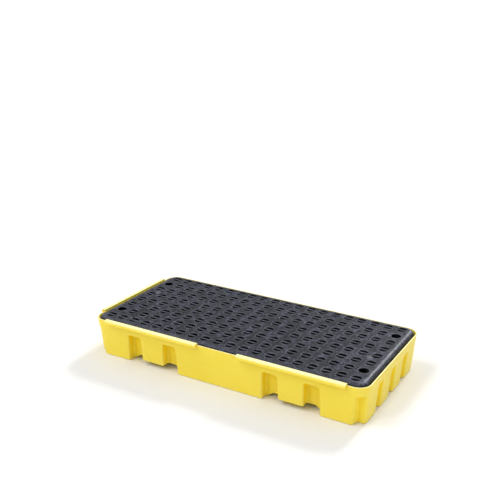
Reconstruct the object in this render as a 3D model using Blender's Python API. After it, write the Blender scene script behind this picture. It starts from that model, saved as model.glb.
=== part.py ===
"""A low two-drum spill containment pallet, in metres, +Z up.

Two mouldings make the pallet: a yellow sump tray with hook lips along its front and left rims,
and a black deck grate that rests inside the rim and lifts straight out by its four finger holes.
The frame's origin is the bottom centre of the whole pallet, lips included, with +X along the
long side and the front, with its two hook lips, facing -Y.
"""

import math

import bmesh
import bpy

# Tray: overall shape
RIM_LENGTH = 1.278
RIM_WIDTH = 0.610
RIM_TOP = 0.166
RIM_RADIUS = 0.055
WALL = 0.005
WALL_LEAN = 0.012  # how far each side wall leans in between the rim's top and the floor
LEDGE_BELOW = 0.124  # underside of the ledges that cap the recesses
LEDGE_TOP = LEDGE_BELOW + WALL
UNDERSIDE_RISE = 0.019  # height of the two raised bays of the underside
BAY_SLOPE = 0.032  # how far each bay's side leans over its height
BAY_STEP = 0.003  # how far each bay starts inside the recesses at its sides

# Tray: recesses moulded into the walls, which stiffen them and carry the deck
FRONT_RECESSES = ((0.202, 0.273), (0.382, 0.452))  # near and far edge from the middle, each way
FRONT_RECESS_DEPTH = 0.036
FRONT_RECESS_CHAMFER = (0.006, 0.006)
FRONT_RECESS_LEAN = 0.004  # how far each side of a recess leans in from the floor up to its top
END_RECESS_PITCH = 0.138
END_RECESS_HALF = 0.0275
END_RECESS_DEPTH = 0.018
END_RECESS_TAPER = 0.006
END_RECESS_LEAN = 0.003
CORNER_NOTCH = (0.041, 0.0315)  # along X and along Y
CORNER_NOTCH_LEAN = 0.0096
CORNER_STEPS = 6

# Tray: oblong pedestals moulded up from the floor, open below
PEDESTAL_X = (-0.5454, -0.3030, 0.0, 0.3030, 0.5454)
PEDESTAL_BASE = (0.040, 0.112)
PEDESTAL_CROWN = (0.028, 0.100)
PEDESTAL_STEPS = 5
PEDESTAL_ROUND = 0.98  # corner radius as a share of half its width

# Tray: hook lips, which drop over the plain rim of the next pallet
LIP_OVERHANG = 0.016
LIP_TOP = 0.174
LIP_BOTTOM = 0.157
LIP_SKIRT = 0.004
LIP_CEILING = 0.169
LIP_ROOT = 0.161
LIP_ROUND = 0.003
LIP_EMBED = 0.0045  # how far its root reaches back over the rim's top
LIP_INTO_RIM = 0.001
FRONT_LIP = (0.094, 0.562)  # near and far end from the middle, each way
END_LIP_HALF = 0.225

# Deck grate
FIT_GAP = 0.0003
RIM_GAP = 0.004
DECK_TOP = 0.175
DECK_BOTTOM = LEDGE_TOP + FIT_GAP
DECK_RADIUS = 0.047
DECK_TOP_ROUND = 0.024
DECK_FOOT_ROUND = 0.006
DECK_ROUND_STEPS = 4
DECK_PLATE = 0.005
HOLE_COLUMNS = 20
HOLE_ROWS = 8
HOLE_PITCH = (0.0606, 0.0711)
HOLE_RADIUS = 0.020
HOLE_BAR = 0.008  # width of the bar across each drain hole
LIFT_HOLE_RADIUS = 0.020
LIFT_HOLE_CELL = (0, 1)  # column and row, counted from each corner, of a plain finger hole
RIB = 0.005

PART_OFFSET = (LIP_OVERHANG / 2, LIP_OVERHANG / 2, 0.0)
CUT_PAST = 0.010  # how far a cutter runs past the face that it opens

# Which part of the side wall a point of its outline belongs to
BODY, RIM, BOTH = "body", "rim", "both"


def clear_scene():
    for obj in list(bpy.data.objects):
        bpy.data.objects.remove(obj, do_unlink=True)


def plastic(name, colour, roughness):
    material = bpy.data.materials.new(name)
    material.use_nodes = True
    shader = material.node_tree.nodes["Principled BSDF"]
    shader.inputs["Base Color"].default_value = (*colour, 1.0)
    shader.inputs["Roughness"].default_value = roughness
    shader.inputs["Metallic"].default_value = 0.0
    material.diffuse_color = (*colour, 1.0)
    return material


def new_object(name, bm, parent, material=None):
    """Turns bm into an object under parent; one with no material is a hidden cutter."""
    bmesh.ops.recalc_face_normals(bm, faces=bm.faces)
    mesh = bpy.data.meshes.new(name)
    bm.to_mesh(mesh)
    bm.free()
    obj = bpy.data.objects.new(name, mesh)
    bpy.context.collection.objects.link(obj)
    obj.parent = parent
    if material:
        mesh.materials.append(material)
    else:
        obj.hide_render = True
        obj.display_type = "WIRE"
    return obj


def boolean(target, operation, cutter):
    modifier = target.modifiers.new(f"{operation.lower()} {cutter.name}", "BOOLEAN")
    modifier.operation = operation
    modifier.solver = "EXACT"
    modifier.object = cutter


def add_loft(bm, rings):
    """Closed solid through rings of equal length, each a list of (x, y, z)."""
    loops = [[bm.verts.new(point) for point in ring] for ring in rings]
    for low, high in zip(loops, loops[1:]):
        add_band(bm, low, high)
    bm.faces.new(list(reversed(loops[0])))
    bm.faces.new(loops[-1])


def at_height(outline, z):
    return [(x, y, z) for x, y in outline]


def arc(centre, radius, start, end, steps):
    """Points on an arc, from angle start to end, in radians."""
    angles = [start + (end - start) * i / steps for i in range(steps + 1)]
    return [(centre[0] + radius * math.cos(a), centre[1] + radius * math.sin(a)) for a in angles]


def rounded_rectangle(half_x, half_y, radius, steps):
    points = []
    for i, (sx, sy) in enumerate(((1, -1), (1, 1), (-1, 1), (-1, -1))):
        centre = (sx * (half_x - radius), sy * (half_y - radius))
        start = math.radians(90 * i - 90)
        points += arc(centre, radius, start, start + math.pi / 2, steps)
    return points


def mirror_quadrant(points):
    """A whole outline from its (+x, -y) quarter; each point is (x, y, level)."""
    right_back = [(x, -y, level) for x, y, level in reversed(points)]
    left_back = [(-x, -y, level) for x, y, level in points]
    left_front = [(-x, y, level) for x, y, level in reversed(points)]
    return points + right_back + left_back + left_front


def wall_outline(z, inward):
    """The side walls' outline at height z: inward is 0 outside the wall and WALL inside it.

    Each point's level is BODY in a recess, RIM where only the plain rim above passes, or BOTH.
    """
    inset = WALL_LEAN * (1 - z / RIM_TOP) + inward
    half_x = RIM_LENGTH / 2 - inset
    half_y = RIM_WIDTH / 2 - inset
    radius = RIM_RADIUS - inward
    points = []
    back = -half_y + FRONT_RECESS_DEPTH
    slope_x, slope_y = FRONT_RECESS_CHAMFER
    rise = min(z / LEDGE_BELOW, 1.0)
    widen = inward - FRONT_RECESS_LEAN * rise
    for near, far in FRONT_RECESSES:
        near -= widen
        far += widen
        points += [(near, -half_y, BOTH), (near, back - slope_y, BODY), (near + slope_x, back, BODY)]
        points += [(far - slope_x, back, BODY), (far, back - slope_y, BODY), (far, -half_y, BOTH)]
    centre = (half_x - radius, -half_y + radius)
    notch_x, notch_y = CORNER_NOTCH
    notch_start = math.asin((radius - notch_x) / radius) - math.pi / 2
    notch_end = -math.asin((radius - notch_y) / radius)
    steps = CORNER_STEPS // 2
    points += [(x, y, BOTH) for x, y in arc(centre, radius, -math.pi / 2, notch_start, steps)]
    points += [(x, y, RIM) for x, y in arc(centre, radius, notch_start, notch_end, steps)[1:-1]]
    points.append((half_x - notch_x + CORNER_NOTCH_LEAN, -half_y + notch_y, BODY))
    points += [(x, y, BOTH) for x, y in arc(centre, radius, notch_end, 0.0, steps)]
    end_half = END_RECESS_HALF + inward - END_RECESS_LEAN * rise
    end_back = half_x - END_RECESS_DEPTH
    points += [(half_x, -END_RECESS_PITCH - end_half, BOTH)]
    points += [(end_back, -END_RECESS_PITCH - end_half + END_RECESS_TAPER, BODY)]
    points += [(end_back, -END_RECESS_PITCH + end_half - END_RECESS_TAPER, BODY)]
    points += [(half_x, -END_RECESS_PITCH + end_half, BOTH)]
    points += [(half_x, -end_half, BOTH), (end_back, -end_half + END_RECESS_TAPER, BODY)]
    return mirror_quadrant(points)


def add_band(bm, low, high):
    """Side faces between two loops of vertices of equal length."""
    for i in range(len(low)):
        j = (i + 1) % len(low)
        bm.faces.new((low[i], low[j], high[j], high[i]))


def stepped_body(inward, z_floor, z_ledge, z_top):
    """Solid with recessed sides from z_floor up to z_ledge, and the plain rim's outline above it."""
    bm = bmesh.new()
    level_of = [level for x, y, level in wall_outline(z_floor, inward)]
    ledge = [bm.verts.new((x, y, z_ledge)) for x, y, level in wall_outline(z_ledge, inward)]
    body = [i for i, level in enumerate(level_of) if level != RIM]
    rim = [i for i, level in enumerate(level_of) if level != BODY]
    floor_outline = wall_outline(z_floor, inward)
    top_outline = wall_outline(z_top, inward)
    floor = [bm.verts.new((*floor_outline[i][:2], z_floor)) for i in body]
    top = [bm.verts.new((*top_outline[i][:2], z_top)) for i in rim]
    add_band(bm, floor, [ledge[i] for i in body])
    add_band(bm, [ledge[i] for i in rim], top)
    shared = [i for i, level in enumerate(level_of) if level == BOTH]
    for a, b in zip(shared, shared[1:] + shared[:1]):
        between = [(a + k) % len(ledge) for k in range(1, (b - a) % len(ledge))]
        if between:
            inner = [ledge[i] for i in between if level_of[i] == BODY]
            outer = [ledge[i] for i in reversed(between) if level_of[i] == RIM]
            bm.faces.new([ledge[a]] + inner + [ledge[b]] + outer)
    bm.faces.new(list(reversed(floor)))
    bm.faces.new(top)
    return bm


def underside_bays(inward):
    """The two raised bays between the end feet and the middle foot."""
    bm = bmesh.new()
    top = UNDERSIDE_RISE + inward
    near = FRONT_RECESSES[0][0] + BAY_STEP - inward
    far = FRONT_RECESSES[-1][1] - BAY_STEP + inward
    for side in (-1, 1):
        rings = []
        for z, slope in ((-CUT_PAST, -BAY_SLOPE * CUT_PAST / top), (top, BAY_SLOPE)):
            x_span = (side * (near + slope), side * (far - slope))
            corners = [(x_span[0], -RIM_WIDTH), (x_span[1], -RIM_WIDTH)]
            corners += [(x_span[1], RIM_WIDTH), (x_span[0], RIM_WIDTH)]
            rings.append(at_height(corners, z))
        add_loft(bm, rings)
    return bm


def pedestals(inward, z_top):
    """Oblong tapered pedestals; inward is 0 for the sump side and WALL for the hollow beneath."""
    bm = bmesh.new()
    for x in PEDESTAL_X:
        rings = []
        for z in (-CUT_PAST, z_top):
            share = z / LEDGE_TOP
            half_x = PEDESTAL_BASE[0] + (PEDESTAL_CROWN[0] - PEDESTAL_BASE[0]) * share - inward
            half_y = PEDESTAL_BASE[1] + (PEDESTAL_CROWN[1] - PEDESTAL_BASE[1]) * share - inward
            shape = rounded_rectangle(half_x, half_y, half_x * PEDESTAL_ROUND, PEDESTAL_STEPS)
            rings.append(at_height([(x + px, py) for px, py in shape], z))
        add_loft(bm, rings)
    return bm


def lip_profile():
    """Section of a hook lip as (distance outside the rim, height)."""
    skirt_inside = LIP_OVERHANG - LIP_SKIRT
    return (
        (-LIP_EMBED, LIP_ROOT),
        (-LIP_INTO_RIM, LIP_ROOT),
        (-LIP_INTO_RIM, LIP_CEILING),
        (skirt_inside, LIP_CEILING),
        (skirt_inside, LIP_BOTTOM),
        (LIP_OVERHANG, LIP_BOTTOM),
        (LIP_OVERHANG, LIP_TOP - LIP_ROUND),
        (LIP_OVERHANG - LIP_ROUND, LIP_TOP),
        (-LIP_EMBED, LIP_TOP),
    )


def hook_lips():
    bm = bmesh.new()
    for side in (-1, 1):
        ends = [side * end for end in FRONT_LIP]
        add_loft(bm, [[(x, -RIM_WIDTH / 2 - out, z) for out, z in lip_profile()] for x in ends])
    ends = (-END_LIP_HALF, END_LIP_HALF)
    add_loft(bm, [[(-RIM_LENGTH / 2 - out, y, z) for out, z in lip_profile()] for y in ends])
    return bm


def make_tray(parent):
    yellow = plastic("sump_tray_yellow", (0.83, 0.64, 0.07), 0.42)
    tray = new_object("sump_tray", stepped_body(0.0, 0.0, LEDGE_BELOW, RIM_TOP), parent, yellow)
    cavity = new_object("cut_cavity", stepped_body(WALL, WALL, LEDGE_TOP, RIM_TOP + CUT_PAST), parent)
    boolean(cavity, "DIFFERENCE", new_object("keep_bay_floors", underside_bays(WALL), parent))
    boolean(cavity, "DIFFERENCE", new_object("keep_pedestals", pedestals(0.0, LEDGE_TOP), parent))
    boolean(tray, "DIFFERENCE", cavity)
    boolean(tray, "DIFFERENCE", new_object("cut_bays", underside_bays(0.0), parent))
    sockets = pedestals(WALL, LEDGE_BELOW)
    boolean(tray, "DIFFERENCE", new_object("cut_sockets", sockets, parent))
    boolean(tray, "UNION", new_object("join_lips", hook_lips(), parent))
    return tray


def hole_centres():
    """(x, y, is a lift hole) for each cell of the deck."""
    for column in range(HOLE_COLUMNS):
        for row in range(HOLE_ROWS):
            x = (column - (HOLE_COLUMNS - 1) / 2) * HOLE_PITCH[0]
            y = (row - (HOLE_ROWS - 1) / 2) * HOLE_PITCH[1]
            from_corner = (min(column, HOLE_COLUMNS - 1 - column), min(row, HOLE_ROWS - 1 - row))
            yield x, y, from_corner == LIFT_HOLE_CELL


def deck_slab():
    """The deck's outer shape, with a full round along its top edge."""
    half_x = RIM_LENGTH / 2 - WALL - RIM_GAP
    half_y = RIM_WIDTH / 2 - WALL - RIM_GAP
    profile = [(DECK_FOOT_ROUND, 0.0), (0.0, DECK_FOOT_ROUND)]
    height = DECK_TOP - DECK_BOTTOM
    for i in range(DECK_ROUND_STEPS + 1):
        angle = math.pi / 2 * i / DECK_ROUND_STEPS
        inset = DECK_TOP_ROUND * (1 - math.cos(angle))
        profile.append((inset, height - DECK_TOP_ROUND * (1 - math.sin(angle))))
    rings = []
    for inset, z in profile:
        shape = rounded_rectangle(half_x - inset, half_y - inset, DECK_RADIUS - inset, CORNER_STEPS)
        rings.append(at_height(shape, z))
    bm = bmesh.new()
    add_loft(bm, rings)
    return bm


def deck_pockets():
    """The pockets between the ribs of the deck's underside."""
    bm = bmesh.new()
    half_x = (HOLE_PITCH[0] - RIB) / 2
    half_y = (HOLE_PITCH[1] - RIB) / 2
    ceiling = DECK_TOP - DECK_BOTTOM - DECK_PLATE
    for x, y, lifts in hole_centres():
        corners = [(x - half_x, y - half_y), (x + half_x, y - half_y)]
        corners += [(x + half_x, y + half_y), (x - half_x, y + half_y)]
        add_loft(bm, [at_height(corners, -CUT_PAST), at_height(corners, ceiling)])
    return bm


def deck_holes():
    """Drain holes, each in two halves with a bar between them, and the round lift holes."""
    bm = bmesh.new()
    low = DECK_TOP - DECK_BOTTOM - 2 * DECK_PLATE
    high = DECK_TOP - DECK_BOTTOM + CUT_PAST
    bar_angle = math.asin(HOLE_BAR / 2 / HOLE_RADIUS)
    for x, y, lifts in hole_centres():
        if lifts:
            outlines = [arc((x, y), LIFT_HOLE_RADIUS, 0.0, math.tau * 11 / 12, 11)]
        else:
            outlines = [arc((x, y), HOLE_RADIUS, bar_angle, math.pi - bar_angle, 3)]
            outlines += [arc((x, y), HOLE_RADIUS, math.pi + bar_angle, math.tau - bar_angle, 3)]
        for outline in outlines:
            add_loft(bm, [at_height(outline, low), at_height(outline, high)])
    return bm


def make_deck(parent):
    black = plastic("deck_grate_black", (0.045, 0.048, 0.058), 0.45)
    deck = new_object("deck_grate", deck_slab(), parent, black)
    boolean(deck, "DIFFERENCE", new_object("cut_pockets", deck_pockets(), parent))
    boolean(deck, "DIFFERENCE", new_object("cut_holes", deck_holes(), parent))
    return deck


def empty(name, location, parent=None):
    obj = bpy.data.objects.new(name, None)
    bpy.context.collection.objects.link(obj)
    obj.location = location
    obj.parent = parent
    return obj


def main():
    clear_scene()
    pallet = empty("pallet", PART_OFFSET)
    make_tray(pallet)
    make_deck(empty("deck_lift", (0.0, 0.0, DECK_BOTTOM), pallet))


main()
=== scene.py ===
"""The looks of a spill containment pallet: a moulded sump tray and the lift-out deck grate inside it.

Lengths are in metres. The tray and the deck are one moulding each. Both are drawn here with the rounded
edges, fillets and surface grain of moulded polyethylene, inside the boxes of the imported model.
"""

import math

import bmesh
import bpy
import numpy as np
from mathutils import Matrix, Vector
from mathutils.geometry import delaunay_2d_cdt


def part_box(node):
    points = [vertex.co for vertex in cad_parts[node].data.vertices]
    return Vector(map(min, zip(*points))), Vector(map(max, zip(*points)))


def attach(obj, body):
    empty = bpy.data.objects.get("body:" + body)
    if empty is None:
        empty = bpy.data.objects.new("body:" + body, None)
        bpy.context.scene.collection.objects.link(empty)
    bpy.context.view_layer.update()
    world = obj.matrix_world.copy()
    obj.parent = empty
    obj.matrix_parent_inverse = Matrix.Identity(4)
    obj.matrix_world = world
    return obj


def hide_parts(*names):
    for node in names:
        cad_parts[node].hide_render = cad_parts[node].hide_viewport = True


# Hook lips, which stand out from the rim on the front and on the left end only
LIP_OVERHANG = 0.016
LIP_BOTTOM = 0.157
LIP_SKIRT = 0.004
LIP_CEILING = 0.169
LIP_ROOT = 0.161
LIP_TOP = 0.174
LIP_EMBED = 0.0045  # how far its root reaches back over the rim's top
LIP_INTO_RIM = 0.0015  # how far the inner side of its channel lies inside the rim
LIP_SEAM = 0.167  # height on its back where the section's outline starts and ends
LIP_ENDS = ((0.0, 0.0005), (0.0003, 0.00025), (0.0009, 0.0))  # distance from the end, edges broken by
LIP_STEPS = 12  # stretches along a lip
FRONT_LIP = (0.094, 0.562)
END_LIP_HALF = 0.225

# Roundings of the tray
EDGE_ROUND = 0.0075
HOLLOW_ROUND = 0.004
FOOT_ROUND = 0.0045
FLOOR_FILLET = 0.0022

# Side walls
WALL = 0.005
WALL_LEAN = 0.012
RIM_TOP = 0.166
RIM_RADIUS = 0.055
RIM_ROUND = 0.0019
LEDGE_BELOW = 0.124
LEDGE_TOP = 0.129
FRONT_RECESSES = ((0.202, 0.273), (0.382, 0.452))
FRONT_RECESS_DEPTH = 0.036
FRONT_RECESS_CHAMFER = (0.006, 0.006)
FRONT_RECESS_LEAN = 0.004
END_RECESS_PITCH = 0.138
END_RECESS_HALF = 0.0275
END_RECESS_DEPTH = 0.018
END_RECESS_TAPER = 0.006
END_RECESS_LEAN = 0.003
CORNER_NOTCH = (0.041, 0.0315)
CORNER_NOTCH_LEAN = 0.0096
NOTCH_REACH = 0.0217
NOTCH_ROUND = 0.0015
NOTCH_CLEAR = 1.5 * EDGE_ROUND / RIM_RADIUS  # angle at a notch's edges that their roundings take up
EVEN_SHARE = 0.25  # how far the plain rim's points move from those of a recess to even spacing
NOTCH_EVEN_SHARE = 0.4

# Where a recess's top meets its back and the plain wall over it: the rounding at the back, the rounding at
# the wall, how far the top rises towards the wall, and the rounding towards the recess's sides
RECESS_TOP_OUTSIDE = {"back_round": 0.004, "face_round": 0.0018, "lift": 0.0012, "arch": 0.008}
RECESS_TOP_INSIDE = {"back_round": 0.008, "face_round": 0.002, "lift": 0.0, "arch": 0.012}

# Floor
UNDERSIDE_RISE = 0.019
BAY_NEAR = (0.203, 0.239)
BAY_FAR = (0.451, 0.415)
PEDESTAL_X = (-0.5454, -0.3030, 0.0, 0.3030, 0.5454)
PEDESTAL_BASE = (0.040, 0.112)
PEDESTAL_CROWN = (0.028, 0.100)
PEDESTAL_CORNER = 0.98  # corner radius as a share of half its width
PEDESTAL_ROUNDS_UNDER = (0.003, 0.004)  # at the foot and at the crown, on the underside
PEDESTAL_ROUNDS_INSIDE = (0.005, 0.007)
FLOOR_LINE_MARGIN = 0.030  # how far the lines across the floor stop short of the recesses' depth

# Deck
DECK_RADIUS = 0.047
DECK_TOP_ROUND = 0.024
DECK_FOOT_ROUND = 0.006
DECK_PLATE = 0.005
HOLE_COLUMNS = 20
HOLE_ROWS = 8
HOLE_PITCH = (0.0606, 0.0711)
HOLE_RADIUS = 0.020
HOLE_BAR = 0.009  # 1 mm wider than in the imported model: 1 mm stays flat between its rounded edges
HOLE_CORNER = 0.0022  # where a bar meets the rim of its hole, in plan
HOLE_TOP_CORNER = 0.0040  # the same at the top of the rounded edge
LIFT_HOLE_RADIUS = 0.020
LIFT_HOLE_CELL = (0, 1)  # column and row, counted from each corner
LIFT_HOLE_STEPS = 32
HOLE_ROUND = 0.0026
BAR_ROUND = 0.0040
HOLE_EXIT = (0.0006, 1.03)  # height and widening of the broken edge where a hole leaves the plate
RIB = 0.005
POCKET_RADIUS = 0.009
POCKET_TAPER = 0.0008
POCKET_FILLET = 0.003
POCKET_FOOT = ((0.0012, 0.0), (0.0003, 0.0004), (0.0, 0.0014))  # outward, up: the ribs' rounded lower edge
SINK_DEPTH = 0.0004
SINK_WIDTH = 0.0045
WARP = 0.0005
TOP_FADE = 0.012  # width beside the rounded edge over which sinks and warp fade out
TOP_LINE_MARGIN = 0.006  # how far the lines over the ribs stop short of the rounded edge

# Camera
CAMERA_PLACE = (1.5107, -2.6708, 1.5420)
CAMERA_TURN = 29.683
CAMERA_DOWN = 18.727
CAMERA_ROLL = 0.547
CAMERA_LENS = 55.98
CAMERA_SENSOR = 36.0

# Lights: azimuth, elevation and spread in degrees, and strength
LIGHTS = {
    "left front light": (-27.0, 40.0, 11.0, 0.50),
    "right light": (76.0, 44.0, 14.0, 0.15),
    "low right light": (56.0, 17.0, 45.0, 0.14),
    "back light": (177.0, 37.0, 13.0, 1.8),
    "high left light": (-60.0, 55.0, 22.0, 0.95),
}
# The room's brightness against the height of the direction it is seen in, 0 at the horizon and 1 overhead, as
# (from, to, brightness up to from, brightness past to). The brighter of the two counts: the first fades above
# the horizon, and the second grows overhead.
ROOM_HORIZON = (0.09, 0.18, 0.78, 0.20)
ROOM_OVERHEAD = (0.15, 0.80, 0.20, 0.80)
FLOOR_SIZE = 2000.0
FLOOR_GREY = 0.8
FLOOR_ROUGHNESS = 0.9

# Colours of the tray
YELLOW_DEEP = (0.905, 0.706, 0.046)
YELLOW_LIGHT = (0.945, 0.748, 0.066)
YELLOW_MOTTLE = (0.960, 0.780, 0.080)
YELLOW_SCRATCHED = (0.975, 0.860, 0.270)
# Painted shade: the deeper, golden yellow painted where the wall is occluded, as in the recesses
YELLOW_PAINTED_SHADE = (0.98, 0.735, 0.001)
# Painted highlight: the near-white colour painted on upward faces just under the rim's top
YELLOW_PAINTED_HIGHLIGHT = (0.97, 0.92, 0.60)
YELLOW_WORN = (0.96, 0.83, 0.20)
YELLOW_SPECULAR = 0.34
PAINTED_SHADE_REACH = 0.06
PAINTED_HIGHLIGHT_BAND = (0.006, 0.001)  # how far below the rim's top the painted highlight starts, and is whole

# Colours of the deck
BLACK_CLEAN = (0.0018, 0.0022, 0.0042)
BLACK_BLOOM = (0.056, 0.060, 0.094)
BLACK_SCUFFED = (0.085, 0.087, 0.100)
# Partly wear and partly a painted highlight: the paler colour of the deck's upward-facing rounded edges
BLACK_WEAR_AND_HIGHLIGHT = (0.110, 0.112, 0.130)
BLACK_TINT = (0.74, 0.80, 1.0, 1.0)
BLACK_SPECULAR = 0.26


# ---------------------------------------------------------------- shared shapes


def unit(vector):
    return vector / np.linalg.norm(vector)


def arc(centre, radius, start, end, steps):
    """Points on an arc from angle start to angle end, in radians."""
    angles = np.linspace(start, end, steps + 1)
    return [(centre[0] + radius * math.cos(a), centre[1] + radius * math.sin(a)) for a in angles]


def rounded_rectangle(half_x, half_y, radius, steps, side_points=0):
    """A closed outline round the origin, with side_points on each straight side."""
    points = []
    corners = ((1, -1), (1, 1), (-1, 1), (-1, -1))
    for i, (sx, sy) in enumerate(corners):
        centre = (sx * (half_x - radius), sy * (half_y - radius))
        start = math.radians(90 * i - 90)
        points += arc(centre, radius, start, start + math.pi / 2, steps)
        after = corners[(i + 1) % 4]
        turn = start + math.pi / 2
        last = np.array(points[-1])
        first = np.array((after[0] * (half_x - radius), after[1] * (half_y - radius)))
        first = first + radius * np.array((math.cos(turn), math.sin(turn)))
        points += [tuple(last + (first - last) * k / (side_points + 1)) for k in range(1, side_points + 1)]
    return points


def path_through(corners):
    """Points along a path with rounded corners, and the number of the corner that each belongs to.

    A corner is (x, y, radius, arc steps, points on the straight run after it). A point on the run after
    corner k belongs to k + 0.5. The first and last corners are ends, and are left out.
    """
    places = [np.array(corner[:2]) for corner in corners]
    arcs = []
    for k, (_, _, radius, steps, _) in enumerate(corners):
        if radius == 0.0:
            arcs.append([places[k]])
            continue
        back = unit(places[k - 1] - places[k])
        ahead = unit(places[k + 1] - places[k])
        half = math.acos(max(-1.0, min(1.0, float(back @ ahead)))) / 2
        centre = places[k] + unit(back + ahead) * radius / math.sin(half)
        start = places[k] + back * radius / math.tan(half) - centre
        end = places[k] + ahead * radius / math.tan(half) - centre
        first = math.atan2(start[1], start[0])
        sweep = math.atan2(start[0] * end[1] - start[1] * end[0], float(start @ end))
        arcs.append([np.array(p) for p in arc(centre, radius, first, first + sweep, steps)])
    points, owners = [], []
    for k, corner in enumerate(corners[:-1]):
        if k:
            points += arcs[k]
            owners += [float(k)] * len(arcs[k])
        last, first = arcs[k][-1], arcs[k + 1][0]
        count = corner[4]
        points += [last + (first - last) * i / (count + 1) for i in range(1, count + 1)]
        owners += [k + 0.5] * count
    return np.array(points), np.array(owners)


class Shell:
    """The points and faces of one closed moulding, built ring by ring."""

    def __init__(self):
        self.points = []
        self.faces = []

    def ring(self, points):
        first = len(self.points)
        self.points += [tuple(map(float, p)) for p in points]
        return list(range(first, len(self.points)))

    def band(self, low, high):
        for i in range(len(low)):
            j = (i + 1) % len(low)
            self.faces.append((low[i], low[j], high[j], high[i]))

    def wall(self, rows):
        """Bands through the rows of points. Returns the first and the last ring."""
        rings = [self.ring(row) for row in rows]
        for low, high in zip(rings, rings[1:]):
            self.band(low, high)
        return rings[0], rings[-1]

    def plate(self, outer, holes, height, lines=()):
        """Triangles between the outer ring and the holes, with more points on lines at height(x, y)."""
        ids, loops = [], []
        for ring in (outer, *holes):
            loop = list(range(len(ids), len(ids) + len(ring)))
            ids += ring
            flat = np.array([self.points[i][:2] for i in ring])
            turn = np.roll(flat, -1, axis=0)
            area = float(np.sum(flat[:, 0] * turn[:, 1] - flat[:, 1] * turn[:, 0]))
            loops.append(loop if area > 0 else loop[::-1])
        edges = []
        for line in lines:
            first = len(ids)
            ids += self.ring([(x, y, height(x, y)) for x, y in line])
            edges += [(first + k, first + k + 1) for k in range(len(line) - 1)]
        flat = [Vector(self.points[i][:2]) for i in ids]
        found = delaunay_2d_cdt(flat, edges, loops, 1, 1e-7)
        crossings = {}
        for face, inside in zip(found[2], found[5]):
            if list(inside) != [0]:
                continue
            corners = []
            for k in face:
                if found[3][k]:
                    corners.append(ids[found[3][k][0]])
                    continue
                if k not in crossings:
                    x, y = found[0][k]
                    crossings[k] = self.ring([(x, y, height(x, y))])[0]
                corners.append(crossings[k])
            self.faces.append(corners)

    def mesh(self, name, centre):
        """A smooth-shaded object of the shell, moved to centre in plan, with its faces turned outward."""
        mesh = bpy.data.meshes.new(name)
        mesh.from_pydata([(x + centre[0], y + centre[1], z) for x, y, z in self.points], [], self.faces)
        bm = bmesh.new()
        bm.from_mesh(mesh)
        bmesh.ops.recalc_face_normals(bm, faces=bm.faces)
        bm.to_mesh(mesh)
        bm.free()
        mesh.shade_smooth()
        obj = bpy.data.objects.new(name, mesh)
        bpy.context.scene.collection.objects.link(obj)
        return obj


def keep_flats_flat(obj):
    """Shades by face area, so that a flat stays flat beside its rounded edges."""
    modifier = obj.modifiers.new("even shading", "WEIGHTED_NORMAL")
    modifier.mode = "FACE_AREA"
    modifier.weight = 50
    modifier.keep_sharp = True


# ---------------------------------------------------------------- tray


def wall_corners(z, inward, half_x, half_y, centre, radius):
    """The corners of the quarter's path along the recessed wall, for path_through.

    Also returns (first corner, last corner, kind) for each recess and notch. centre and radius are those of
    the rim's round corner.
    """
    edge = EDGE_ROUND - inward
    hollow = HOLLOW_ROUND + inward
    rise = z / LEDGE_BELOW
    corners = [(0.0, -half_y, 0.0, 0, 6)]
    spans = []
    back = -half_y + FRONT_RECESS_DEPTH
    slope_x, slope_y = (side + (2 - math.sqrt(2)) * inward for side in FRONT_RECESS_CHAMFER)
    for run_after, (near, far) in zip((4, 5), FRONT_RECESSES):
        near += FRONT_RECESS_LEAN * rise - inward
        far += inward - FRONT_RECESS_LEAN * rise
        spans.append((len(corners), len(corners) + 5, "front"))
        corners += [(near, -half_y, edge, 5, 4), (near, back - slope_y, hollow, 3, 4)]
        corners += [(near + slope_x, back, hollow, 3, 7), (far - slope_x, back, hollow, 3, 4)]
        corners += [(far, back - slope_y, hollow, 3, 4), (far, -half_y, edge, 5, run_after)]
    start = math.asin((radius - CORNER_NOTCH[0]) / radius) - math.pi / 2
    end = -math.asin((radius - CORNER_NOTCH[1]) / radius)
    before = arc(centre, radius, -math.pi / 2, start - NOTCH_CLEAR * 0.6, 4)
    corners += [(x, y, 0.0, 0, 0) for x, y in before]
    spans.append((len(corners), len(corners) + 2, "notch"))
    corners.append((*arc(centre, radius, start, start, 1)[0], edge, 5, 3))
    vertex = (half_x - CORNER_NOTCH[0] + CORNER_NOTCH_LEAN, -half_y + CORNER_NOTCH[1])
    corners.append((*vertex, NOTCH_ROUND + inward, 4, 2))
    corners.append((*arc(centre, radius, end, end, 1)[0], edge, 5, 0))
    beyond = arc(centre, radius, end + NOTCH_CLEAR * 0.8, 0.0, 5)[:-1]
    corners += [(x, y, 0.0, 0, 0) for x, y in beyond]
    corners.append((half_x, centre[1], 0.0, 0, 3))
    end_half = END_RECESS_HALF + inward - END_RECESS_LEAN * rise
    end_back = half_x - END_RECESS_DEPTH
    for middle in (-END_RECESS_PITCH, 0.0):
        spans.append((len(corners), len(corners) + 3, "end"))
        corners += [(half_x, middle - end_half, edge, 5, 3)]
        corners += [(end_back, middle - end_half + END_RECESS_TAPER, hollow, 3, 4 if middle else 2)]
        if middle:
            corners += [(end_back, middle + end_half - END_RECESS_TAPER, hollow, 3, 3)]
            corners += [(half_x, middle + end_half, edge, 5, 3)]
    corners.append((end_back, 0.0, 0.0, 0, 0))
    return corners, spans


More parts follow.
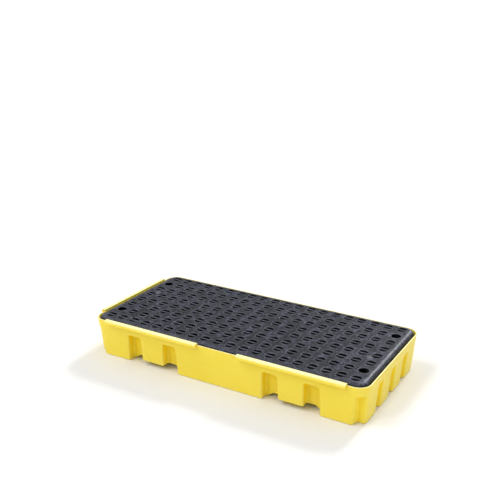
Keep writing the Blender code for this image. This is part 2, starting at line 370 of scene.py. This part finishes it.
def quadrant(z, inward):
    """The quarter of the walls' outline at +x, -y, at height z and inward of the outer face.

    Returns the points on the recessed wall, the matching points on the plain rim, and the kind of each.
    """
    inset = WALL_LEAN * (1 - z / RIM_TOP) + inward
    half_x = RIM[0] / 2 - inset
    half_y = RIM[1] / 2 - inset
    radius = RIM_RADIUS - inward
    centre = (half_x - radius, -half_y + radius)
    corners, spans = wall_corners(z, inward, half_x, half_y, centre, radius)
    full, owners = path_through(corners)
    plain = full.copy()
    kinds = np.full(len(full), "plain", dtype="U6")
    for first, last, kind in spans:
        where = (owners >= first) & (owners <= last)
        part = full[where]
        steps = np.r_[0.0, np.cumsum(np.linalg.norm(np.diff(part, axis=0), axis=1))]
        share = steps / steps[-1]
        kinds[where] = kind
        if kind == "front":
            even = part[0, 0] + (part[-1, 0] - part[0, 0]) * share
            x = (1 - EVEN_SHARE) * part[:, 0] + EVEN_SHARE * even
            plain[where] = np.c_[x, np.full(len(part), -half_y)]
        elif kind == "end":
            even = part[0, 1] + (part[-1, 1] - part[0, 1]) * share
            y = (1 - EVEN_SHARE) * part[:, 1] + EVEN_SHARE * even
            plain[where] = np.c_[np.full(len(part), half_x), y]
        else:
            turn = np.arctan2(part[:, 1] - centre[1], part[:, 0] - centre[0])
            even = turn[0] + (turn[-1] - turn[0]) * share
            turn = (1 - NOTCH_EVEN_SHARE) * turn + NOTCH_EVEN_SHARE * even
            plain[where] = np.c_[centre[0] + radius * np.cos(turn), centre[1] + radius * np.sin(turn)]
    return full, plain, kinds


def all_round(points):
    """A whole outline from its (+x, -y) quarter."""
    flip_x, flip_y = np.array((-1.0, 1.0)), np.array((1.0, -1.0))
    return np.vstack([points, points[::-1] * flip_y, points * flip_x * flip_y, points[::-1] * flip_x])


class Walls:
    """Both faces of the tray's side walls. All heights can be one number or one for each point."""

    def __init__(self):
        low_full, low_plain, kinds = quadrant(0.0, 0.0)
        high_full, _, _ = quadrant(LEDGE_BELOW, 0.0)
        _, high_plain, _ = quadrant(RIM_TOP, 0.0)
        low_full_in, low_plain_in, _ = quadrant(0.0, WALL)
        high_full_in, _, _ = quadrant(LEDGE_BELOW, WALL)
        _, high_plain_in, _ = quadrant(RIM_TOP, WALL)
        self.full = [all_round(p) for p in (low_full, high_full, low_full_in, high_full_in)]
        self.plain = [all_round(p) for p in (low_plain, high_plain, low_plain_in, high_plain_in)]
        self.kinds = np.concatenate([kinds, kinds[::-1], kinds, kinds[::-1]])
        depth_of = {"front": FRONT_RECESS_DEPTH, "end": END_RECESS_DEPTH, "notch": NOTCH_REACH, "plain": 1.0}
        self.depth = np.array([depth_of[k] for k in self.kinds])
        self.count = len(self.kinds)

    def place(self, z, inward, recessed):
        """A row of points at height z, inward of the outer face.

        recessed is 1 on a recess's back and 0 on the plain rim.
        """
        z = np.broadcast_to(np.asarray(z, float), self.count)[:, None]
        share = inward / WALL
        low, high, low_in, high_in = self.full
        full = low + (low_in - low) * share
        full = full + (high + (high_in - high) * share - full) * z / LEDGE_BELOW
        low, high, low_in, high_in = self.plain
        plain = low + (low_in - low) * share
        plain = plain + (high + (high_in - high) * share - plain) * z / RIM_TOP
        recessed = np.broadcast_to(np.asarray(recessed, float), self.count)[:, None]
        return np.c_[plain + (full - plain) * recessed, z]


def rise_at(x):
    """How far the underside is raised at x: the two bays between the feet."""
    x = np.abs(x)
    up = np.clip((x - BAY_NEAR[0]) / (BAY_NEAR[1] - BAY_NEAR[0]), 0, 1)
    down = np.clip((x - BAY_FAR[0]) / (BAY_FAR[1] - BAY_FAR[0]), 0, 1)
    share = np.minimum(up, down)
    return UNDERSIDE_RISE * share * share * (3 - 2 * share)


def arch_drop(walls, row, inward, radius):
    """How far a recess's ceiling comes down in a quarter round towards its sides."""
    x, y = np.abs(row[:, 0]), np.abs(row[:, 1])
    side = np.full(walls.count, radius)
    for near, far in FRONT_RECESSES:
        near += FRONT_RECESS_LEAN - inward
        far += inward - FRONT_RECESS_LEAN
        middle = abs(x - (near + far) / 2) < (far - near) / 2 + 2 * EDGE_ROUND
        here = (walls.kinds == "front") & middle
        side[here] = np.minimum(x - near, far - x)[here]
    half = END_RECESS_HALF - END_RECESS_LEAN + inward
    for middle in (0.0, END_RECESS_PITCH):
        here = (walls.kinds == "end") & (abs(y - middle) < END_RECESS_PITCH / 2)
        side[here] = (half - abs(y - middle))[here]
    share = np.clip(1 - side / radius, 0, 1)
    return radius * (1 - np.sqrt(np.clip(1 - share * share, 0, 1)))


def climb(walls, inward, floor, foot_round, ceiling, back_round, face_round, lift, arch):
    """Rows up one face of the walls, from the foot, past the recesses' ceilings, to the plain band."""
    rows = []
    for angle in np.linspace(0, math.pi / 2, 5):
        inset = inward + foot_round * (1 - math.sin(angle))
        rows.append(walls.place(floor + foot_round * (1 - math.cos(angle)), inset, 1.0))
    base = floor + foot_round
    drop = arch_drop(walls, walls.place(ceiling, inward, 1.0), inward, arch)
    top = ceiling - drop - back_round
    for share in np.linspace(0, 1, 9)[1:]:
        rows.append(walls.place(base + (top - base) * share, inward, 1.0))
    travel = []
    for angle in np.linspace(0, math.pi / 2, 5)[1:]:
        travel.append((back_round * (1 - math.cos(angle)), 0.0, -back_round * (1 - math.sin(angle))))
    for share in np.linspace(0, 1, 5)[1:]:
        travel.append((back_round * (1 - share) - face_round * share, share, lift * share))
    for angle in np.linspace(0, math.pi / 2, 5)[1:]:
        travel.append((-face_round * (1 - math.sin(angle)), 1.0, lift + face_round * (1 - math.cos(angle))))
    for offset, past, up in travel:
        out = np.clip((offset + walls.depth * past) / walls.depth, 0, 1)
        level = walls.place(ceiling, inward, 1 - out)
        z = ceiling - arch_drop(walls, level, inward, arch) + up
        rows.append(walls.place(z, inward, 1 - out))
    return rows


def band_rows(walls, inward, from_z, to_z, count):
    """Rows up the plain band above the recesses."""
    return [walls.place(from_z + (to_z - from_z) * k / count, inward, 0.0) for k in range(1, count + 1)]


def pedestal_rows(x, inward, floor, crown, rounds):
    """Rows up one pedestal, from the rounding at its foot to its crown's flat."""
    foot_round, crown_round = rounds
    profile = []
    for angle in np.linspace(0, math.pi / 2, 4):
        profile.append((foot_round * (1 - math.sin(angle)), floor + foot_round * (1 - math.cos(angle))))
    for angle in np.linspace(0, math.pi / 2, 5):
        profile.append((-crown_round * (1 - math.cos(angle)), crown - crown_round * (1 - math.sin(angle))))
    rows = []
    for out, z in profile:
        share = z / LEDGE_TOP
        half_x = PEDESTAL_BASE[0] + (PEDESTAL_CROWN[0] - PEDESTAL_BASE[0]) * share - inward + out
        half_y = PEDESTAL_BASE[1] + (PEDESTAL_CROWN[1] - PEDESTAL_BASE[1]) * share - inward + out
        shape = rounded_rectangle(half_x, half_y, half_x * PEDESTAL_CORNER, 8, 6)
        rows.append([(x + px, y, z) for px, y in shape])
    return rows


def floor_lines(half_y):
    """Lines across the floor where the raised bays' slopes bend it."""
    lines = []
    for side in (-1, 1):
        for start, end in (BAY_NEAR, BAY_FAR):
            for x in np.linspace(start, end, 6):
                lines.append([(side * x, y) for y in np.linspace(-half_y, half_y, 30)])
    return lines


def make_tray(centre):
    walls = Walls()
    shell = Shell()
    floor = rise_at(walls.full[0][:, 0])
    outer = climb(walls, 0.0, floor, FOOT_ROUND, LEDGE_BELOW, **RECESS_TOP_OUTSIDE)
    inner = climb(walls, WALL, floor + WALL, FLOOR_FILLET, LEDGE_TOP, **RECESS_TOP_INSIDE)
    rim = RIM_TOP - RIM_ROUND
    outer += band_rows(walls, 0.0, outer[-1][:, 2], rim, 4)
    inner += band_rows(walls, WALL, inner[-1][:, 2], rim, 4)
    crown = []
    for angle in np.linspace(0, math.pi / 2, 5)[1:]:
        crown.append((RIM_ROUND * (1 - math.cos(angle)), RIM_TOP - RIM_ROUND * (1 - math.sin(angle))))
    crown += [(WALL - inset, z) for inset, z in reversed(crown)]
    rows = outer + [walls.place(z, inset, 0.0) for inset, z in crown] + inner[::-1]
    underside, inside = shell.wall(rows)
    sockets, pedestals = [], []
    for x in PEDESTAL_X:
        raised = float(rise_at(x))
        foot, top = shell.wall(pedestal_rows(x, WALL, raised, LEDGE_TOP - WALL, PEDESTAL_ROUNDS_UNDER))
        sockets.append(foot)
        shell.faces.append(top)
        foot, top = shell.wall(pedestal_rows(x, 0.0, raised + WALL, LEDGE_TOP, PEDESTAL_ROUNDS_INSIDE))
        pedestals.append(foot)
        shell.faces.append(top)
    lines = floor_lines(RIM[1] / 2 - FRONT_RECESS_DEPTH - FLOOR_LINE_MARGIN)
    shell.plate(underside, sockets, lambda x, y: rise_at(x), lines)
    shell.plate(inside, pedestals, lambda x, y: rise_at(x) + WALL, lines)
    return shell.mesh("moulded_sump_tray", centre)


def lip_section():
    """A hook lip's section as (distance outside the rim, height), with rounded corners."""
    inside = LIP_OVERHANG - LIP_SKIRT
    corners = [
        (-LIP_EMBED, LIP_SEAM, 0.0, 0, 1),
        (-LIP_EMBED, LIP_ROOT, 0.0, 0, 0),
        (-LIP_INTO_RIM, LIP_ROOT, 0.0, 0, 0),
        (-LIP_INTO_RIM, LIP_CEILING, 0.0012, 3, 2),
        (inside, LIP_CEILING, 0.0012, 3, 2),
        (inside, LIP_BOTTOM, 0.0014, 3, 0),
        (LIP_OVERHANG, LIP_BOTTOM, 0.0018, 4, 2),
        (LIP_OVERHANG, LIP_TOP, 0.0090, 8, 3),
        (-LIP_EMBED, LIP_TOP, 0.0022, 5, 1),
        (-LIP_EMBED, LIP_SEAM, 0.0, 0, 0),
    ]
    points, _ = path_through(corners)
    return points


def make_lip(shell, face, start, end, along_x):
    """One hook lip along the rim's outer face, from start to end, with its end edges broken."""
    section = lip_section()
    middle = section.mean(axis=0)
    stations = [(start + reach, edge) for reach, edge in LIP_ENDS]
    stations += [(start + (end - start) * k / LIP_STEPS, 0.0) for k in range(1, LIP_STEPS)]
    stations += [(end - reach, edge) for reach, edge in reversed(LIP_ENDS)]
    rows = []
    for place, edge in stations:
        row = []
        for out, z in section:
            out += math.copysign(edge, middle[0] - out)
            z += math.copysign(edge, middle[1] - z)
            row.append((place, face - out, z) if along_x else (face - out, place, z))
        rows.append(row)
    first, last = shell.wall(rows)
    shell.faces += [first[::-1], last]


def make_hook_lips(centre):
    """The two hook lips of the front and the one of the left end."""
    shell = Shell()
    near, far = FRONT_LIP
    make_lip(shell, -RIM[1] / 2, near, far, True)
    make_lip(shell, -RIM[1] / 2, -far, -near, True)
    make_lip(shell, -RIM[0] / 2, -END_LIP_HALF, END_LIP_HALF, False)
    return shell.mesh("hook_lips", centre)


def weld(target, other):
    """Joins another closed shell to the target, as one body."""
    modifier = target.modifiers.new("weld " + other.name, "BOOLEAN")
    modifier.operation = "UNION"
    modifier.solver = "EXACT"
    modifier.object = other
    graph = bpy.context.evaluated_depsgraph_get()
    joined = bpy.data.meshes.new_from_object(target.evaluated_get(graph))
    target.modifiers.clear()
    target.data = joined
    bpy.data.objects.remove(other)


# ---------------------------------------------------------------- deck


def deck_cells():
    """(x, y, is a lift hole) for each cell of the deck."""
    for column in range(HOLE_COLUMNS):
        for row in range(HOLE_ROWS):
            x = (column - (HOLE_COLUMNS - 1) / 2) * HOLE_PITCH[0]
            y = (row - (HOLE_ROWS - 1) / 2) * HOLE_PITCH[1]
            from_corner = (min(column, HOLE_COLUMNS - 1 - column), min(row, HOLE_ROWS - 1 - row))
            yield x, y, from_corner == LIFT_HOLE_CELL


def half_hole(radius, chord, corner):
    """The far half of a drain hole beyond the bar's edge at y = chord, and how much of each point is bar."""
    end = math.asin(chord / radius) + 0.25
    tip = math.sqrt(radius * radius - chord * chord)
    rim = [(x, y, 0.0, 0, 0) for x, y in arc((0, 0), radius, end, math.pi - end, 9)]
    corners = [(0.0, chord, 0.0, 0, 2), (tip, chord, corner, 3, 0), *rim]
    corners += [(-tip, chord, corner, 3, 2), (0.0, chord, 0.0, 0, 0)]
    points, owners = path_through(corners)
    bar = np.where((owners < 1) | (owners > len(rim) + 2), 1.0, 0.0)
    for turn in (1, len(rim) + 2):
        here = np.flatnonzero(owners == turn)
        bar[here] = np.linspace(1, 0, len(here)) if turn == 1 else np.linspace(0, 1, len(here))
    return points, bar


def deck_height(x, y):
    """The deck's top at (x, y): sunk a little over the ribs, and not quite flat, as mouldings are."""
    across = abs((x / HOLE_PITCH[0]) % 1.0 - (HOLE_COLUMNS / 2) % 1.0)
    across = min(across, 1 - across) * HOLE_PITCH[0]
    along = abs((y / HOLE_PITCH[1]) % 1.0 - (HOLE_ROWS / 2) % 1.0)
    along = min(along, 1 - along) * HOLE_PITCH[1]
    sink = SINK_DEPTH * max(math.exp(-((across / SINK_WIDTH) ** 2)), math.exp(-((along / SINK_WIDTH) ** 2)))
    wave = math.sin(23 * x + 1.3) * math.cos(17 * y - 0.4) + math.sin(11 * x - 29 * y)
    from_edge = min(DECK[0] / 2 - DECK_TOP_ROUND - abs(x), DECK[1] / 2 - DECK_TOP_ROUND - abs(y))
    fade = max(0.0, min(1.0, from_edge / TOP_FADE))
    return DECK_TOP - fade * (sink + WARP * (2 + wave) / 4)


def hole_rows(x, y, outline, flared, round_of):
    """Rows down through the plate round one opening: a rounded edge, a straight wall and a broken edge."""
    rows = []
    tops = np.array([deck_height(x + px, y + py) for px, py in flared])
    for angle in np.linspace(0, math.pi / 2, 5):
        flat = outline + (flared - outline) * (1 - math.sin(angle))
        z = tops - round_of * (1 - math.cos(angle)) - (DECK_TOP - tops) * math.sin(angle)
        rows.append(np.c_[flat + (x, y), z])
    low = DECK_TOP - DECK_PLATE
    height, widening = HOLE_EXIT
    rows.append(np.c_[outline + (x, y), np.full(len(outline), low + height)])
    rows.append(np.c_[outline * widening + (x, y), np.full(len(outline), low)])
    return rows


def pocket_rows(x, y):
    """Rows up the pocket under one cell, from the ribs' lower edge to the plate."""
    half_x = (HOLE_PITCH[0] - RIB) / 2
    half_y = (HOLE_PITCH[1] - RIB) / 2
    profile = [(out, DECK_BOTTOM + up) for out, up in POCKET_FOOT]
    ceiling = DECK_TOP - DECK_PLATE
    for angle in np.linspace(0, math.pi / 2, 4):
        out = -POCKET_TAPER - POCKET_FILLET * (1 - math.cos(angle))
        profile.append((out, ceiling - POCKET_FILLET * (1 - math.sin(angle))))
    rows = []
    for out, z in profile:
        shape = rounded_rectangle(half_x + out, half_y + out, POCKET_RADIUS + out, 4, 2)
        rows.append([(x + px, y + py, z) for px, py in shape])
    return rows


def deck_side_rows():
    """Rows from the edge of the flat top, over the round edge and down the side to the foot."""
    profile = []
    for angle in np.linspace(0, math.pi / 2, 11):
        inset = DECK_TOP_ROUND * (1 - math.sin(angle))
        profile.append((inset, DECK_TOP - DECK_TOP_ROUND * (1 - math.cos(angle))))
    for angle in np.linspace(0, math.pi / 2, 5):
        inset = DECK_FOOT_ROUND * (1 - math.cos(angle))
        profile.append((inset, DECK_BOTTOM + DECK_FOOT_ROUND * (1 - math.sin(angle))))
    rows = []
    for inset, z in profile:
        shape = rounded_rectangle(DECK[0] / 2 - inset, DECK[1] / 2 - inset, DECK_RADIUS - inset, 10, 24)
        rows.append([(px, py, z) for px, py in shape])
    return rows


def rib_lines():
    """Lines along the deck's ribs, where its top is sunk."""
    reach_x = DECK[0] / 2 - DECK_TOP_ROUND - TOP_LINE_MARGIN
    reach_y = DECK[1] / 2 - DECK_TOP_ROUND - TOP_LINE_MARGIN
    lines = []
    for column in range(1, HOLE_COLUMNS):
        for beside in (-1, 0, 1):
            x = (column - HOLE_COLUMNS / 2) * HOLE_PITCH[0] + beside * SINK_WIDTH
            lines.append([(x, y) for y in np.linspace(-reach_y, reach_y, 57)])
    for row in range(1, HOLE_ROWS):
        for beside in (-1, 0, 1):
            y = (row - HOLE_ROWS / 2) * HOLE_PITCH[1] + beside * SINK_WIDTH
            lines.append([(x, y) for x in np.linspace(-reach_x, reach_x, 121)])
    return lines


def make_deck(centre):
    shell = Shell()
    halves = []
    for side in (1, -1):
        outline, bar = half_hole(HOLE_RADIUS, HOLE_BAR / 2, HOLE_CORNER)
        flared, _ = half_hole(HOLE_RADIUS + HOLE_ROUND, HOLE_BAR / 2 - BAR_ROUND, HOLE_TOP_CORNER)
        round_of = HOLE_ROUND + (BAR_ROUND - HOLE_ROUND) * bar
        halves.append((outline * (side, side), flared * (side, side), round_of))
    around = np.array(arc((0, 0), 1.0, 0.0, math.tau, LIFT_HOLE_STEPS)[:-1])
    flared = around * (LIFT_HOLE_RADIUS + HOLE_ROUND)
    lift = (around * LIFT_HOLE_RADIUS, flared, np.full(LIFT_HOLE_STEPS, HOLE_ROUND))
    openings, pockets = [], []
    for x, y, lifts in deck_cells():
        rims = []
        for outline, flared, round_of in [lift] if lifts else halves:
            top, low = shell.wall(hole_rows(x, y, outline, flared, round_of))
            openings.append(top)
            rims.append(low)
        foot, ceiling = shell.wall(pocket_rows(x, y))
        pockets.append(foot)
        shell.plate(ceiling, rims, None)
    top, foot = shell.wall(deck_side_rows())
    shell.plate(top, openings, deck_height, rib_lines())
    shell.plate(foot, pockets, None)
    return shell.mesh("moulded_deck_grate", centre)


# ---------------------------------------------------------------- scene


def make_camera():
    camera = bpy.data.objects.new("camera", bpy.data.cameras.new("camera"))
    bpy.context.scene.collection.objects.link(camera)
    turn = Matrix.Rotation(math.radians(CAMERA_TURN), 4, "Z")
    tilt = Matrix.Rotation(math.radians(90 - CAMERA_DOWN), 4, "X")
    roll = Matrix.Rotation(math.radians(CAMERA_ROLL), 4, "Z")
    camera.matrix_world = Matrix.Translation(CAMERA_PLACE) @ turn @ tilt @ roll
    camera.data.lens = CAMERA_LENS
    camera.data.sensor_width = CAMERA_SENSOR
    bpy.context.scene.camera = camera


def soft_light(name, azimuth, elevation, spread, strength):
    """A broad soft light from far away. Azimuth 0 is in front of the pallet, and 90 at its right end."""
    light = bpy.data.lights.new(name, "SUN")
    light.angle = math.radians(spread)
    light.energy = strength
    obj = bpy.data.objects.new(name, light)
    bpy.context.scene.collection.objects.link(obj)
    turn = math.radians(azimuth)
    lift = math.radians(elevation)
    away = Vector((math.sin(turn) * math.cos(lift), -math.cos(turn) * math.cos(lift), math.sin(lift)))
    obj.location = away * 5.0
    obj.rotation_mode = "QUATERNION"
    obj.rotation_quaternion = away.to_track_quat("Z", "Y")


def make_room():
    """A plain white room round the scene, brighter at the horizon and overhead."""
    world = bpy.data.worlds.new("studio")
    bpy.context.scene.world = world
    world.use_nodes = True
    tree = world.node_tree
    place = tree.nodes.new("ShaderNodeTexCoord")
    upward = tree.nodes.new("ShaderNodeSeparateXYZ")
    tree.links.new(place.outputs["Generated"], upward.inputs[0])
    brighter = tree.nodes.new("ShaderNodeMath")
    brighter.operation = "MAXIMUM"
    for i, span in enumerate((ROOM_HORIZON, ROOM_OVERHEAD)):
        part = tree.nodes.new("ShaderNodeMapRange")
        for socket, value in zip(("From Min", "From Max", "To Min", "To Max"), span):
            part.inputs[socket].default_value = value
        tree.links.new(upward.outputs["Z"], part.inputs["Value"])
        tree.links.new(part.outputs[0], brighter.inputs[i])
    background = tree.nodes["Background"]
    background.inputs["Color"].default_value = (1.0, 1.0, 1.0, 1.0)
    tree.links.new(brighter.outputs[0], background.inputs["Strength"])


def make_floor():
    bpy.ops.mesh.primitive_plane_add(size=FLOOR_SIZE)
    floor = bpy.context.object
    floor.name = "floor"
    material = bpy.data.materials.new("floor")
    material.use_nodes = True
    shader = material.node_tree.nodes["Principled BSDF"]
    shader.inputs["Base Color"].default_value = (FLOOR_GREY, FLOOR_GREY, FLOOR_GREY, 1.0)
    shader.inputs["Roughness"].default_value = FLOOR_ROUGHNESS
    floor.data.materials.append(material)


def make_studio():
    """The room, five soft lights, and a plain pale floor."""
    make_room()
    for name, (azimuth, elevation, spread, strength) in LIGHTS.items():
        soft_light(name, azimuth, elevation, spread, strength)
    make_floor()
    bpy.context.scene.view_settings.view_transform = "Standard"


# ---------------------------------------------------------------- materials


class Nodes:
    """The nodes of one material, in metres of the piece's own coordinates."""

    def __init__(self, name):
        self.material = bpy.data.materials.new(name)
        self.material.use_nodes = True
        self.tree = self.material.node_tree
        self.shader = self.tree.nodes["Principled BSDF"]
        self.place = self.add("ShaderNodeTexCoord").outputs["Object"]

    def add(self, kind, inputs=(), **settings):
        node = self.tree.nodes.new(kind)
        for key, value in settings.items():
            setattr(node, key, value)
        for key, value in dict(inputs).items():
            if isinstance(value, bpy.types.NodeSocket):
                self.tree.links.new(value, node.inputs[key])
            else:
                node.inputs[key].default_value = value
        return node

    def noise(self, per_metre, detail=2.0, stretch=None):
        """Noise from about 0 to 1, with its mean near 0.5."""
        place = self.place
        if stretch:
            place = self.add("ShaderNodeMapping", {"Vector": place, "Scale": stretch}).outputs[0]
        inputs = {"Vector": place, "Scale": per_metre, "Detail": detail}
        return self.add("ShaderNodeTexNoise", inputs).outputs[0]

    def span(self, value, low, high, to_low=0.0, to_high=1.0):
        """value moved from the span low..high to to_low..to_high, and held inside it."""
        inputs = {"Value": value, "From Min": low, "From Max": high, "To Min": to_low, "To Max": to_high}
        return self.add("ShaderNodeMapRange", inputs).outputs[0]

    def math(self, operation, first, second):
        node = self.add("ShaderNodeMath", {0: first, 1: second}, operation=operation)
        return node.outputs[0]

    def mix(self, share, first, second):
        node = self.add("ShaderNodeMix", data_type="RGBA")
        for socket, value in ((node.inputs[0], share), (node.inputs[6], first), (node.inputs[7], second)):
            if isinstance(value, bpy.types.NodeSocket):
                self.tree.links.new(value, socket)
            elif socket is node.inputs[0]:
                socket.default_value = value
            else:
                socket.default_value = (*value, 1.0)
        return node.outputs[2]

    def bump(self, height, distance, strength=1.0, under=None):
        inputs = {"Height": height, "Distance": distance, "Strength": strength}
        if under:
            inputs["Normal"] = under
        return self.add("ShaderNodeBump", inputs).outputs[0]

    def finish(self, colour, roughness, normal, specular):
        self.tree.links.new(colour, self.shader.inputs["Base Color"])
        self.tree.links.new(roughness, self.shader.inputs["Roughness"])
        self.tree.links.new(normal, self.shader.inputs["Normal"])
        self.shader.inputs["Specular IOR Level"].default_value = specular
        return self.material


def yellow_plastic():
    """Satin yellow polyethylene: a fine moulded grain, faint mottling, scratches, paler worn edges and a
    painted highlight on the tops.

    Painted shade: its colour is painted deeper and more golden where the wall is occluded, which imitates
    golden shadows.
    """
    nodes = Nodes("yellow_polyethylene")
    cloud = nodes.noise(7.0, 3.0)
    mottle = nodes.noise(110.0, 4.0)
    grain = nodes.noise(650.0, 2.0)
    colour = nodes.mix(nodes.span(cloud, 0.3, 0.7), YELLOW_DEEP, YELLOW_LIGHT)
    colour = nodes.mix(nodes.span(mottle, 0.35, 0.75, 0.0, 0.5), colour, YELLOW_MOTTLE)
    scratch = nodes.span(nodes.noise(330.0, 5.0, (0.10, 0.10, 1.0)), 0.60, 0.70)
    scratch = nodes.math("MULTIPLY", scratch, nodes.span(cloud, 0.42, 0.62))
    colour = nodes.mix(nodes.math("MULTIPLY", scratch, 0.45), colour, YELLOW_SCRATCHED)
    # Painted shade: ambient occlusion paints the colour deeper and more golden in recesses and under the lips
    reach = {"Distance": PAINTED_SHADE_REACH}
    shade_occlusion = nodes.add("ShaderNodeAmbientOcclusion", reach, samples=8, only_local=True)
    painted_shade = nodes.span(shade_occlusion.outputs["AO"], 0.5, 0.95, 0.95, 0.0)
    colour = nodes.mix(painted_shade, colour, YELLOW_PAINTED_SHADE)
    geometry = nodes.add("ShaderNodeNewGeometry")
    facing = nodes.add("ShaderNodeSeparateXYZ", {0: geometry.outputs["Normal"]}).outputs["Z"]
    height = nodes.add("ShaderNodeSeparateXYZ", {0: nodes.place}).outputs["Z"]
    # Painted highlight: upward faces near the tops of the rim and the lips are painted pale, near white
    near_top = nodes.span(height, RIM_TOP - PAINTED_HIGHLIGHT_BAND[0], RIM_TOP - PAINTED_HIGHLIGHT_BAND[1])
    top = nodes.math("MULTIPLY", nodes.span(facing, 0.2, 0.85), near_top)
    painted_highlight = nodes.math("MULTIPLY", top, nodes.span(mottle, 0.3, 0.6, 0.55, 1.0))
    colour = nodes.mix(nodes.math("MULTIPLY", painted_highlight, 0.8), colour, YELLOW_PAINTED_HIGHLIGHT)
    edge = nodes.span(geometry.outputs["Pointiness"], 0.507, 0.535)
    worn = nodes.math("MULTIPLY", edge, nodes.span(nodes.noise(45.0, 5.0), 0.42, 0.62))
    colour = nodes.mix(nodes.math("MULTIPLY", worn, 0.5), colour, YELLOW_WORN)
    roughness = nodes.span(mottle, 0.30, 0.70, 0.26, 0.46)
    roughness = nodes.math("ADD", roughness, nodes.math("MULTIPLY", scratch, 0.12))
    normal = nodes.bump(nodes.noise(11.0, 1.0), 0.0030)
    normal = nodes.bump(mottle, 0.0004, 1.0, normal)
    normal = nodes.bump(grain, 0.00035, 1.0, normal)
    return nodes.finish(colour, roughness, normal, YELLOW_SPECULAR)


def black_plastic():
    """Satin black polyethylene: a pebbled grain, a patchy bloom, paler scuffs, and pale upper edges of wear
    and painted highlight.
    """
    nodes = Nodes("black_polyethylene")
    patch = nodes.noise(52.0, 4.0)
    streak = nodes.noise(34.0, 3.0, (1.0, 0.28, 1.0))
    grain = nodes.noise(480.0, 3.0)
    pebble = nodes.noise(120.0, 4.0)
    bloom = nodes.math("MULTIPLY", nodes.span(patch, 0.42, 0.62), nodes.span(streak, 0.36, 0.62))
    bloom = nodes.math("MULTIPLY", bloom, nodes.span(pebble, 0.38, 0.62, 0.0, 2.0))
    colour = nodes.mix(bloom, BLACK_CLEAN, BLACK_BLOOM)
    scuff = nodes.span(nodes.noise(260.0, 5.0, (0.35, 1.0, 1.0)), 0.60, 0.72)
    colour = nodes.mix(nodes.math("MULTIPLY", scuff, 0.5), colour, BLACK_SCUFFED)
    roughness = nodes.span(streak, 0.3, 0.7, 0.27, 0.42)
    geometry = nodes.add("ShaderNodeNewGeometry")
    # Upward-facing rounded edges painted paler: partly wear, partly a painted highlight on the bends and hole
    # rims
    edge = nodes.span(geometry.outputs["Pointiness"], 0.503, 0.528)
    facing = nodes.add("ShaderNodeSeparateXYZ", {0: geometry.outputs["Normal"]}).outputs["Z"]
    edge = nodes.math("MULTIPLY", edge, nodes.span(facing, 0.55, 0.9))
    edge = nodes.math("MULTIPLY", edge, nodes.span(pebble, 0.3, 0.6, 0.5, 1.0))
    colour = nodes.mix(edge, colour, BLACK_WEAR_AND_HIGHLIGHT)
    normal = nodes.bump(nodes.noise(38.0, 2.0), 0.0007)
    normal = nodes.bump(pebble, 0.0016, 1.0, normal)
    normal = nodes.bump(grain, 0.00022, 0.9, normal)
    nodes.shader.inputs["Specular Tint"].default_value = BLACK_TINT
    return nodes.finish(colour, roughness, normal, BLACK_SPECULAR)


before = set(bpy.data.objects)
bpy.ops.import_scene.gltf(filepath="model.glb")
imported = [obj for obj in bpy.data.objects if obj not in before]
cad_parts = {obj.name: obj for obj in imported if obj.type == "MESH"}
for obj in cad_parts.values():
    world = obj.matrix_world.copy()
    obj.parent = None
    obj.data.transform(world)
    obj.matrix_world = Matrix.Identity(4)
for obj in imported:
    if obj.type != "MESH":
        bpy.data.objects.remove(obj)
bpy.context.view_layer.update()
tray_low, tray_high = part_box("sump_tray")
RIM = (tray_high.x - tray_low.x - LIP_OVERHANG, tray_high.y - tray_low.y - LIP_OVERHANG)
deck_low, deck_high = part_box("deck_grate")
DECK = (deck_high.x - deck_low.x, deck_high.y - deck_low.y)
DECK_BOTTOM, DECK_TOP = deck_low.z, deck_high.z
CENTRE = ((tray_low.x + tray_high.x + LIP_OVERHANG) / 2, (tray_low.y + tray_high.y + LIP_OVERHANG) / 2)

make_camera()
make_studio()
tray = make_tray(CENTRE)
weld(tray, make_hook_lips(CENTRE))
keep_flats_flat(tray)
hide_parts("sump_tray")
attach(tray, "tray")
tray.data.materials.append(yellow_plastic())

deck = make_deck(CENTRE)
keep_flats_flat(deck)
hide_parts("deck_grate")
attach(deck, "deck")
deck.data.materials.append(black_plastic())
